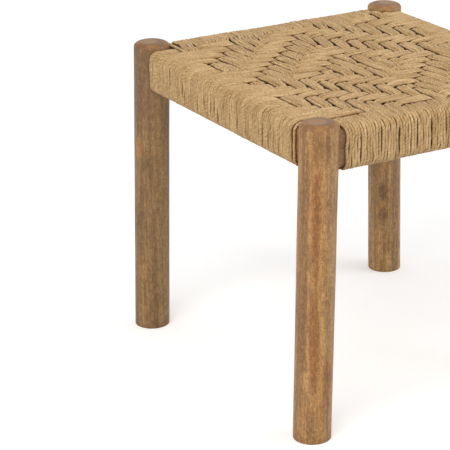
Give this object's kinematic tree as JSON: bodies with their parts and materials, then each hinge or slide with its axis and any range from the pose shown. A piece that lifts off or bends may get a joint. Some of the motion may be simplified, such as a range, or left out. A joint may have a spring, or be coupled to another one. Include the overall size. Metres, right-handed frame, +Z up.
{
  "type": "mudda stool",
  "caption": "Low stool with round, slightly splayed wooden legs and a flat seat of jute cord, wound round its rails and woven in nested diamonds.",
  "frame": {"origin": "on the floor under the middle of the seat", "axes": "+Z up, +X to the right along the shorter side, +Y from front to back along the longer side"},
  "size_m": [0.489, 0.511, 0.45],
  "materials": {
    "leg_wood": "waxed mango wood with a weathered brown stain",
    "rail_wood": "plain sawn wood, mostly hidden by the cord",
    "jute_cord": "natural twisted jute cord",
    "tack_steel": "plain steel"
  },
  "bodies": {
    "root": {"leg_front_left": "leg_wood", "leg_front_right": "leg_wood", "leg_back_left": "leg_wood", "leg_back_right": "leg_wood", "rail_front": "rail_wood", "rail_back": "rail_wood", "rail_left": "rail_wood", "rail_right": "rail_wood", "warp_cord": "jute_cord", "weft_cord": "jute_cord", "tack_warp_start": "tack_steel", "tack_warp_end": "tack_steel", "tack_weft_start": "tack_steel", "tack_weft_end": "tack_steel"}
  },
  "joints": []
}
